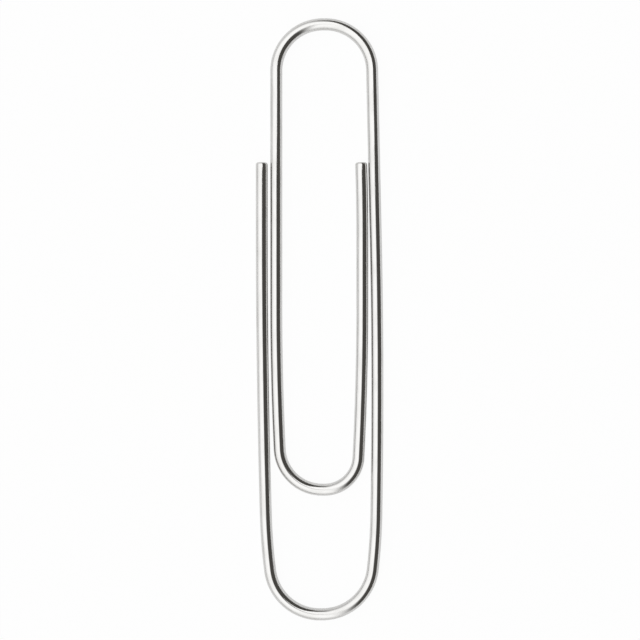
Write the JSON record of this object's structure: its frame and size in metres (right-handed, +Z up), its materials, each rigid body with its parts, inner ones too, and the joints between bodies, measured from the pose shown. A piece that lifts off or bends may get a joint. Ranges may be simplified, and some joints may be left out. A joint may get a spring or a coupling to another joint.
{
  "type": "paper clip",
  "caption": "Large wire paper clip: round bright-plated steel wire bent into a flat double loop whose springy tongue lifts to grip the edge of a stack of paper.",
  "frame": {"origin": "centre of the clip's outline, on the table it lies flat on", "axes": "+Y along the clip towards its crown, +X across it towards the side leg, +Z up from the table"},
  "size_m": [0.0106, 0.05, 0.001],
  "materials": {
    "plated_wire": "bright zinc-plated drawn steel wire, polished, with faint draw lines along the wire"
  },
  "bodies": {
    "side_loop": {"bottom_bend_side_half": "plated_wire", "side_leg_lower": "plated_wire", "side_leg_upper": "plated_wire", "crown_side_half": "plated_wire"},
    "tongue": {"crown_tongue_half": "plated_wire", "tongue_leg": "plated_wire", "tongue_bend_leg_half": "plated_wire"},
    "outer_arm": {"bottom_bend_outer_half": "plated_wire", "outer_leg": "plated_wire"},
    "inner_arm": {"tongue_bend_free_half": "plated_wire", "inner_leg": "plated_wire"}
  },
  "joints": [
    {"name": "tongue_lift", "type": "hinge", "parent": "side_loop", "child": "tongue", "pos_m": [0.00038, 0.0245, 0.0005], "axis": [-1, 0, 0], "range_deg": [0, 12], "stiffness_Nm_per_rad": 0.31},
    {"name": "outer_arm_lift", "type": "hinge", "parent": "side_loop", "child": "outer_arm", "pos_m": [0.00012, -0.0245, 0.0005], "axis": [1, 0, 0], "range_deg": [0, 8], "stiffness_Nm_per_rad": 0.47},
    {"name": "inner_arm_lift", "type": "hinge", "parent": "tongue", "child": "inner_arm", "pos_m": [0.00031, -0.01415, 0.0005], "axis": [1, 0, 0], "range_deg": [0, 6], "stiffness_Nm_per_rad": 0.63}
  ]
}
